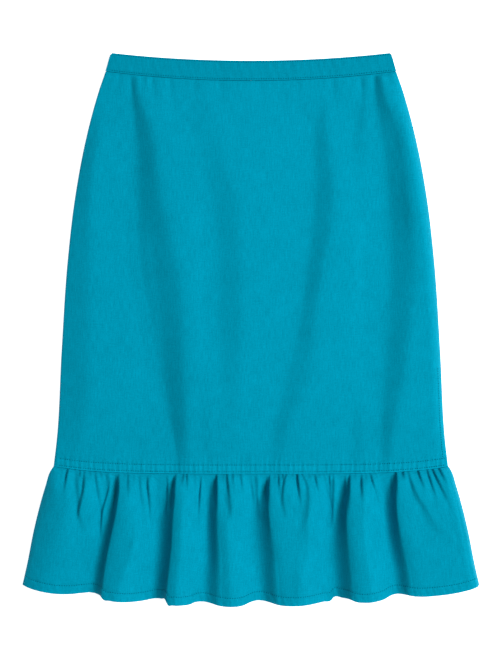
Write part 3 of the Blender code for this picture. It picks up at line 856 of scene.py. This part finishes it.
def waistband(name, lines, facing):
    """A waistband: facing is 1 for the front and -1 for the back."""
    near_top = [0.0] + around(TOP_ROW)
    near_seam = [0.0] + around(BOTTOM_ROW)
    steps = stations(BAND_ROWS, near_top, near_seam, BAND_HEIGHT)
    upper = top_edge(lines)
    lower = band_seam(lines) + SEAM_GAP / 2
    y = spread(steps, upper, lower)
    across = np.broadcast_to(lines, y.shape)
    inset = 0.0 if facing > 0 else BACK_INSET
    half = skirt_half(y) - inset
    x = across * half
    from_top = upper - y
    from_seam = y - lower
    inside = side_distance(across, half)
    y = y - roll(inside, BAND_CORNER) * smooth(1.0 - from_top / BAND_CORNER_RUN)
    stitched = row_mask(from_top, (TOP_ROW,)) + row_mask(from_seam, (BOTTOM_ROW,))
    middle = smooth(from_top / BAND_MIDDLE_RUN) * smooth(from_seam / BAND_MIDDLE_RUN)
    if facing > 0:
        z = 2.0 * BAND_CLOTH + SEAM_GAP + BAND_LIFT * (1.0 - np.exp(-inside / EDGE_RUN))
        z = z + BAND_RIPPLE * ripple(x + 0.4 * y, BAND_RIPPLE_ACROSS, 1.3) * middle
        z = z + 0.5 * BAND_RIPPLE * ripple(y + 0.2 * x, BAND_RIPPLE_DOWN, 0.2) * middle
    else:
        z = np.zeros_like(x)
    points = np.stack([x, y, z - facing * STITCH_GROOVE * stitched], axis=2)
    normals = facing * normals_of(points)
    sew_across(points, normals, from_top, TOP_ROW, BAND_MARGIN)
    sew_across(points, normals, from_seam, BOTTOM_ROW, BAND_MARGIN)
    # Painted shade: the whole band is coloured darker.
    tone = np.full_like(z, BAND_PAINTED_SHADE)
    piece = lay_cloth(name, points, BAND_THICK, {"stitched": stitched, "tone": tone}, facing)
    rim = piece.modifiers.new("rim", "BEVEL")
    rim.width = BAND_ROUND
    rim.segments = 3
    rim.limit_method = "ANGLE"
    rim.angle_limit = math.radians(60.0)
    bpy.context.view_layer.objects.active = piece
    bpy.ops.object.modifier_apply(modifier="rim")
    return piece


def halves(count):
    """Stations across the left and the right half of the back, apart at the centre seam."""
    middle = SEAM_GAP / 2 / skirt_half(WAIST_Y)
    side = 1.0 - np.array(ROLL_STEPS[:-1]) * ROLL_BACK / PANEL_HALF
    inner = np.linspace(middle, 1.0 - ROLL_BACK / PANEL_HALF, count)
    right = np.concatenate([inner, side[::-1]])
    return -right[::-1], right


band_front = waistband("waistband_front_cloth", np.linspace(-1.0, 1.0, BAND_COLUMNS), 1)
left_lines = np.linspace(-1.0, -SEAM_GAP / 2 / skirt_half(WAIST_Y), BAND_COLUMNS // 2)
band_left = waistband("waistband_back_left_cloth", left_lines, -1)
band_right = waistband("waistband_back_right_cloth", -left_lines[::-1], -1)

# %% [markdown]
# ## The back panels
# They lie flat on the floor, outer side down, with a plain seam at the centre back. Their sides
# curl up a little towards the front's, as the cloth does at a pressed side seam.

# %% The back panels' sheets
BACK_COLUMNS = 40
BACK_ROWS = 40


def back_panel(name, lines):
    """One half of the back, flat on the floor."""
    low = fold_lines(ROLL_FOLD) + around(LOWER_ROW) + around(UPPER_ROW)
    steps = stations(BACK_ROWS, fold_lines(ROLL_FOLD), low, PANEL_LENGTH)
    upper = band_seam(lines) - SEAM_GAP / 2
    lower = flounce_seam(lines) + SEAM_GAP / 2
    y = spread(steps, upper, lower)
    across = np.broadcast_to(lines, y.shape)
    half = skirt_half(y) - BACK_INSET
    x = across * half
    over_seam = y - lower
    stitched = row_mask(over_seam, (LOWER_ROW, UPPER_ROW))
    z = roll(side_distance(across, half), ROLL_BACK) + STITCH_GROOVE * stitched
    z = z + 0.5 * roll(over_seam, ROLL_FOLD) + 0.5 * roll(upper - y, ROLL_FOLD)
    points = np.stack([x, y, z], axis=2)
    for mark in (LOWER_ROW, UPPER_ROW):
        sew_across(points, -normals_of(points), over_seam, mark, 1)
    thick = np.where(over_seam < UPPER_ROW, FOLDED, SHEET)
    tone = np.ones_like(z)
    return lay_cloth(name, points, thick, {"stitched": stitched, "tone": tone}, -1)


left_half, right_half = halves(BACK_COLUMNS)
back_left = back_panel("back_panel_left_cloth", left_half)
back_right = back_panel("back_panel_right_cloth", right_half)

# %% [markdown]
# ## The flounce
# The front flounce is the liveliest piece. Its form is laid on the middle of the solid's wall, and
# the outer side is then found along the normals, because the cloth stands almost upright on the
# sides of the waves. The hem is a strip folded up inside and stitched, so the last centimetre is
# thicker, and it is faintly puckered.

# %% The flounce's sheets
HEM_ROW = 11.0 * MM
HEM_PUCKER = 0.35 * MM
HEM_PUCKER_SPACING = 8.5 * MM
HEM_SOFT = 2.5 * MM
# the hem is coloured lighter along its folded edge
HEM_EDGE_LIGHTER = 0.12
HEM_EDGE_LIGHTER_WIDTH = 1.2 * MM
HEM_LINES = [3.0 * MM, 5.5 * MM, 8.0 * MM]
SEAM_LINES = [place * MM for place in (0, 0.3, 0.8, 1.5, 2.5, 3.6, 5, 6.5, 8.5, 11, 14, 17.5)]
SIDE_FOOT = 6.0 * MM
FLOUNCE_INSET = 0.2 * MM
FLOUNCE_HALF = 270.0 * MM
FLOUNCE_TONE = 0.97
FLOUNCE_COLUMNS = 640
FLOUNCE_ROWS = 34
BACK_FLOUNCE_COLUMNS = 200
BACK_FLOUNCE_ROWS = 24
# how much closer the grid's lines are at a valley's walls, and over what part of the half width
EVEN_COLUMNS = 4000
WALL_LINES = 0.8
WALL_WIDTH = 0.018
VALLEY_HALF = 272.0
SHARP_LIP = 3


def flounce_y(steps, lines, dip):
    """Heights on the plane of the flounce's stations, for a hem that sags by dip."""
    upper = flounce_seam(lines) - SEAM_GAP / 2
    return spread(steps, upper, HEM_CORNER_Y - dip)


def close_lines(ends, count):
    """Stations across the flounce, closer at the steep walls of its valleys."""
    even = np.linspace(ends[5], ends[-6], EVEN_COLUMNS)
    weight = np.ones_like(even)
    for valley in VALLEYS:
        for column, wall in ((1, 3), (2, 4)):
            place = sum(row[column] for row in valley[1:]) / (len(valley) - 1) / VALLEY_HALF
            if sum(row[wall] for row in valley) / len(valley) <= SHARP_LIP:
                weight += WALL_LINES * np.exp(-((even - place) / WALL_WIDTH) ** 2)
    run = np.concatenate([[0.0], np.cumsum((weight[1:] + weight[:-1]) / 2)])
    inner = np.interp(np.linspace(0.0, run[-1], count), run, even)
    return np.concatenate([ends[:5], inner, ends[-5:]])


def flounce_front():
    """The front flounce, with its gathers, waves and stitched hem."""
    near_hem = fold_lines(ROLL_FOLD) + HEM_LINES + around(HEM_ROW)
    steps = stations(FLOUNCE_ROWS, SEAM_LINES, near_hem, FLOUNCE_SIDE)
    lines = close_lines(lines_across(FLOUNCE_COLUMNS, ROLL_FRONT, FLOUNCE_HALF), FLOUNCE_COLUMNS)
    print("flounce columns", len(lines), "rows", len(steps))
    y = flounce_y(steps, lines, curved(lines, HEM) * MM)
    across = np.broadcast_to(lines, y.shape)
    depth = (y[0][None, :] - y) / (y[0] - y[-1])[None, :]
    half = curved(depth, FLARE) * MM
    x = across * half
    z = CLOTH + SEAM_GAP + CLOTH / 2 + wave_height(across, depth, half)
    middle = np.stack([x, y, z], axis=2)
    points = middle + normals_of(middle) * (CLOTH / 2)
    inside = side_distance(across, half)
    points[..., 0] = x + (points[..., 0] - x) * np.clip(inside / SIDE_FOOT, 0.0, 1.0)
    from_hem = y - y[-1][None, :]
    from_seam = y[0][None, :] - y
    inside_hem = inside_edge(from_hem, HEM_ROW) * smooth(from_hem / HEM_SOFT)
    shape = HEM_PUCKER * ripple(x + 0.5 * y, HEM_PUCKER_SPACING, 2.2) * inside_hem
    stitched = row_mask(from_hem, (HEM_ROW,))
    sink = roll(from_hem, ROLL_FOLD) + roll(from_seam, ROLL_FOLD) + STITCH_GROOVE * stitched
    points = points + normals_of(points) * (shape - sink)[..., None]
    points[..., 2] -= roll(inside, ROLL_FRONT)
    sew_across(points, normals_of(points), from_hem, HEM_ROW, SIDE_MARGIN)
    thick = np.where(from_hem < HEM_ROW, FOLDED, SHEET)
    tone = FLOUNCE_TONE + HEM_EDGE_LIGHTER * smooth(1.0 - from_hem / HEM_EDGE_LIGHTER_WIDTH)
    return lay_cloth("flounce_front_cloth", points, thick, {"stitched": stitched, "tone": tone})


def flounce_back():
    """The back flounce, which lies flatter, with low waves inside the front's."""
    near_hem = fold_lines(ROLL_FOLD) + around(HEM_ROW)
    steps = stations(BACK_FLOUNCE_ROWS, fold_lines(ROLL_FOLD), near_hem, FLOUNCE_SIDE)
    lines = lines_across(BACK_FLOUNCE_COLUMNS, ROLL_BACK, FLOUNCE_HALF)
    y = flounce_y(steps, lines, BACK_HEM_DIP * (1.0 - lines ** 2))
    across = np.broadcast_to(lines, y.shape)
    depth = (y[0][None, :] - y) / (y[0] - y[-1])[None, :]
    half = curved(depth, FLARE) * MM - FLOUNCE_INSET
    x = across * half
    shifts = [np.clip(across + side, -1.0, 1.0) for side in (-WAVE_ERODE, 0.0, WAVE_ERODE)]
    wave = np.minimum.reduce([eased(place, WAVES, 1) for place in shifts]) * MM
    from_hem = y - y[-1][None, :]
    stitched = row_mask(from_hem, (HEM_ROW,))
    z = WAVE_SHARE_BACK * wave * puff(depth) + roll(side_distance(across, half), ROLL_BACK)
    z = z + STITCH_GROOVE * stitched + 0.5 * roll(from_hem, ROLL_FOLD)
    points = np.stack([x, y, z], axis=2)
    sew_across(points, -normals_of(points), from_hem, HEM_ROW, SIDE_MARGIN)
    thick = np.where(from_hem < HEM_ROW, FOLDED, SHEET)
    tone = np.full_like(z, FLOUNCE_TONE)
    return lay_cloth("flounce_back_cloth", points, thick, {"stitched": stitched, "tone": tone}, -1)


front_flounce = flounce_front()
back_flounce = flounce_back()
thread = make_stitches("stitches")
holes = make_hole_shades("painted_needle_shade")

# %% [markdown]
# ## Finishes
# A material is a small network of nodes. The class below lets the network be written as sums:
# a wire stands for a node's output, and adding or multiplying wires adds the Math nodes for it.

# %% Wires
class Wire:
    """An output of a node, which can be reckoned with."""

    def __init__(self, tree, socket=None):
        self.tree = tree
        self.socket = socket

    def node(self, kind, settings, sockets, output=0):
        """Add a node with these settings and socket values or links, and give one output."""
        made = self.tree.nodes.new(kind)
        for name, value in settings.items():
            setattr(made, name, value)
        for name, value in sockets.items():
            if isinstance(value, Wire):
                self.tree.links.new(value.socket, made.inputs[name])
            else:
                made.inputs[name].default_value = value
        return Wire(self.tree, made.outputs[output])

    def reckon(self, operation, first, second=0.0):
        """A Math node."""
        return self.node("ShaderNodeMath", {"operation": operation}, {0: first, 1: second})

    def __add__(self, other):
        return self.reckon("ADD", self, other)

    def __mul__(self, other):
        return self.reckon("MULTIPLY", self, other)

    def sine(self):
        """The sine of this wire."""
        return self.reckon("SINE", self)

    def noise(self, place, scale):
        """Noise from 0 to 1."""
        sockets = {"Vector": place, "Scale": scale, "Detail": 2.0}
        return self.node("ShaderNodeTexNoise", {}, sockets, "Fac")

    def shaded(self, colour, shade):
        """A colour, lighter or darker by a wire."""
        sockets = {0: colour[:3], "Scale": shade}
        return self.node("ShaderNodeVectorMath", {"operation": "SCALE"}, sockets)

    def bump(self, strength, distance, height):
        """The normal of a surface with a fine relief."""
        sockets = {"Strength": strength, "Distance": distance, "Height": height}
        return self.node("ShaderNodeBump", {}, sockets)

    def to(self, shader, socket):
        """Feed one of a shader's sockets."""
        self.tree.links.new(self.socket, shader.inputs[socket])


# %% [markdown]
# The cloth is a plain weave with uneven yarns, dyed after sewing. Its map is in metres, so a thread
# every 0.45 mm is a sine with that spacing. Slubs are noise stretched along the yarns, and a table
# says how much each noise does to the shade and to the relief. Under a row of stitches, where the
# cloth's own value "stitched" is high, the cloth is painted a little darker: painted shade in the
# sunk row. The cloth's value "tone" makes pieces lighter or darker; on the waistband it is painted
# shade. There is no white gloss: what little light the yarns throw back has their own colour.

# %% The woven cloth
THREAD_SPACING = 0.45 * MM
# how often a noise turns in a metre, across the cloth and down it, its share in the shade and in
# the relief: for the warp, the weft, the specks and the mottle
YARN_NOISE = [
    (900.0, 70.0, 0.50, 0.6),
    (80.0, 900.0, 0.24, 0.4),
    (620.0, 620.0, 0.50, 0.5),
    (45.0, 30.0, 0.16, 0.0),
]
PLAIN_SHADE = 0.30
WEAVE_SHADE = 0.04
WEAVE_HEIGHT = 0.35
WEAVE_RELIEF = 0.25 * MM
THREAD_RELIEF = 0.1 * MM
TWIST_SCALE = 900.0
HOLE_SPECK_SCALE = 400.0
# painted shade: how far the colour is taken towards the dark turquoise along a stitched row
ROW_PAINTED_SHADE = 0.14
TURQUOISE = (0.0, 0.268, 0.402, 1.0)
# the dark turquoise is painted shade, in the stitched rows and in the needle holes
DEEP = (0.0, 0.130, 0.200, 1.0)
YARN_SHINE = (0.0, 0.75, 1.0, 1.0)


def start_material(name, roughness):
    """A new material, its shader and a first wire."""
    material = bpy.data.materials.new(name)
    material.use_nodes = True
    shader = material.node_tree.nodes["Principled BSDF"]
    shader.inputs["Roughness"].default_value = roughness
    shader.inputs["Specular IOR Level"].default_value = 0.3
    shader.inputs["Specular Tint"].default_value = YARN_SHINE
    shader.inputs["Sheen Weight"].default_value = 0.15
    shader.inputs["Sheen Roughness"].default_value = 0.5
    shader.inputs["Sheen Tint"].default_value = YARN_SHINE
    return material, shader, Wire(material.node_tree)


def streaks(wire, across, down, fine_across, fine_down):
    """Noise stretched by its two scales, from 0 to 1."""
    sockets = {"X": across * fine_across, "Y": down * fine_down, "Z": 0.0}
    return wire.noise(wire.node("ShaderNodeCombineXYZ", {}, sockets), 1.0)


def cloth_finish():
    """Matt plain weave, dyed in the piece."""
    material, shader, wire = start_material("turquoise_weave", 0.92)
    place = wire.node("ShaderNodeUVMap", {"uv_map": "cloth"}, {})
    across = wire.node("ShaderNodeSeparateXYZ", {}, {0: place}, "X")
    down = wire.node("ShaderNodeSeparateXYZ", {}, {0: place}, "Y")
    turn = math.pi / THREAD_SPACING
    threads = (across * turn).sine() * (down * turn).sine()
    shade = threads * WEAVE_SHADE + PLAIN_SHADE
    relief = threads * WEAVE_HEIGHT
    for fine_across, fine_down, in_shade, in_relief in YARN_NOISE:
        yarns = streaks(wire, across, down, fine_across, fine_down)
        shade = shade + yarns * in_shade
        relief = relief + yarns * in_relief
    # The value "tone" carries the waistband's painted shade, the lighter folded edges and small
    # differences between pieces.
    tone = wire.node("ShaderNodeAttribute", {"attribute_name": "tone"}, {}, "Fac")
    colour = wire.shaded(TURQUOISE, shade * tone)
    stitched = wire.node("ShaderNodeAttribute", {"attribute_name": "stitched"}, {}, "Fac")
    # Painted shade: along the stitched rows the colour is mixed towards the dark turquoise.
    mixing = {"Factor": stitched * ROW_PAINTED_SHADE, 6: colour, 7: DEEP}
    retinted = wire.node("ShaderNodeMix", {"data_type": "RGBA"}, mixing, 2)
    retinted.to(shader, "Base Color")
    wire.bump(0.35, WEAVE_RELIEF, relief).to(shader, "Normal")
    return material


def thread_finish():
    """Sewing thread of the cloth's colour, with its twist."""
    material, shader, wire = start_material("turquoise_thread", 0.7)
    place = wire.node("ShaderNodeTexCoord", {}, {}, "Object")
    twist = wire.noise(place, TWIST_SCALE)
    wire.shaded(TURQUOISE, twist * 0.5 + 0.74).to(shader, "Base Color")
    wire.bump(0.3, THREAD_RELIEF, twist).to(shader, "Normal")
    return material


def hole_shade_finish():
    """Painted shade of a needle hole: a dark turquoise, a little uneven."""
    material, shader, wire = start_material("painted_hole_shade", 1.0)
    place = wire.node("ShaderNodeTexCoord", {}, {}, "Object")
    speck = wire.noise(place, HOLE_SPECK_SCALE)
    wire.shaded(DEEP, speck * 0.8 + 0.25).to(shader, "Base Color")
    shader.inputs["Sheen Weight"].default_value = 0.0
    return material


CLOTH_PIECES = {
    front_cloth: "front_panel",
    band_front: "waistband_front",
    band_left: "waistband_back_left",
    band_right: "waistband_back_right",
    back_left: "back_panel_left",
    back_right: "back_panel_right",
    front_flounce: "flounce_front",
    back_flounce: "flounce_back",
}
weave = cloth_finish()
for piece in CLOTH_PIECES:
    piece.data.materials.clear()
    piece.data.materials.append(weave)
thread.data.materials.append(thread_finish())
holes.data.materials.append(hole_shade_finish())

# %% [markdown]
# ## Floor and light
# A pale floor and one large soft lamp high at the upper right, in a dim white room. The lamp gives
# the folds their shaded left sides; the room keeps them from going black. The floor glows like a
# light table, so that the skirt is cut out on white with no shadow beside it.

# %% Floor, lamp and room
FLOOR_SIZE = 40.0
FLOOR_DEPTH = 0.4 * MM
FLOOR_GLOW = 0.85
FLOOR_COLOUR = (0.93, 0.93, 0.93, 1.0)
WHITE = (1.0, 1.0, 1.0, 1.0)
LAMP_PLACE = (4.05, 0.60, 5.40)
LAMP_SIZE = 3.2
LAMP_POWER = 550.0
ROOM_STRENGTH = 0.20


def make_floor():
    """A wide pale floor just under the skirt."""
    drop_selection()
    bpy.ops.mesh.primitive_plane_add(size=FLOOR_SIZE, location=(0.0, 0.0, -FLOOR_DEPTH))
    floor = bpy.context.object
    floor.name = "floor"
    material = bpy.data.materials.new("pale_floor")
    material.use_nodes = True
    shader = material.node_tree.nodes["Principled BSDF"]
    shader.inputs["Base Color"].default_value = FLOOR_COLOUR
    shader.inputs["Emission Color"].default_value = WHITE
    shader.inputs["Emission Strength"].default_value = FLOOR_GLOW
    shader.inputs["Roughness"].default_value = 1.0
    shader.inputs["Specular IOR Level"].default_value = 0.0
    floor.data.materials.append(material)


def make_light():
    """A large soft lamp high at the upper right of the skirt and a white room."""
    bpy.ops.object.light_add(type="AREA", location=LAMP_PLACE)
    lamp = bpy.context.object
    lamp.name = "lamp"
    lamp.data.shape = "DISK"
    lamp.data.size = LAMP_SIZE
    lamp.data.energy = LAMP_POWER
    aim = lamp.location.to_track_quat("Z", "Y")
    lamp.rotation_euler = aim.to_euler()
    world = bpy.data.worlds.new("room")
    world.use_nodes = True
    background = world.node_tree.nodes["Background"]
    background.inputs["Color"].default_value = WHITE
    background.inputs["Strength"].default_value = ROOM_STRENGTH
    bpy.context.scene.world = world
    bpy.context.scene.view_settings.view_transform = "Standard"


make_floor()
make_light()

# %% [markdown]
# ## Riding on the body
# Every piece rides on the part's one body, and each sheet of cloth stands for its solid, which is
# hidden. The panels are cut as wide as they lie, and the flounce is a longer strip, because its
# waves take up cloth.

# %% Ride and replace
for piece, node in CLOTH_PIECES.items():
    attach(piece, "root")
    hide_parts(node)
for trim in (thread, holes):
    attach(trim, "root")
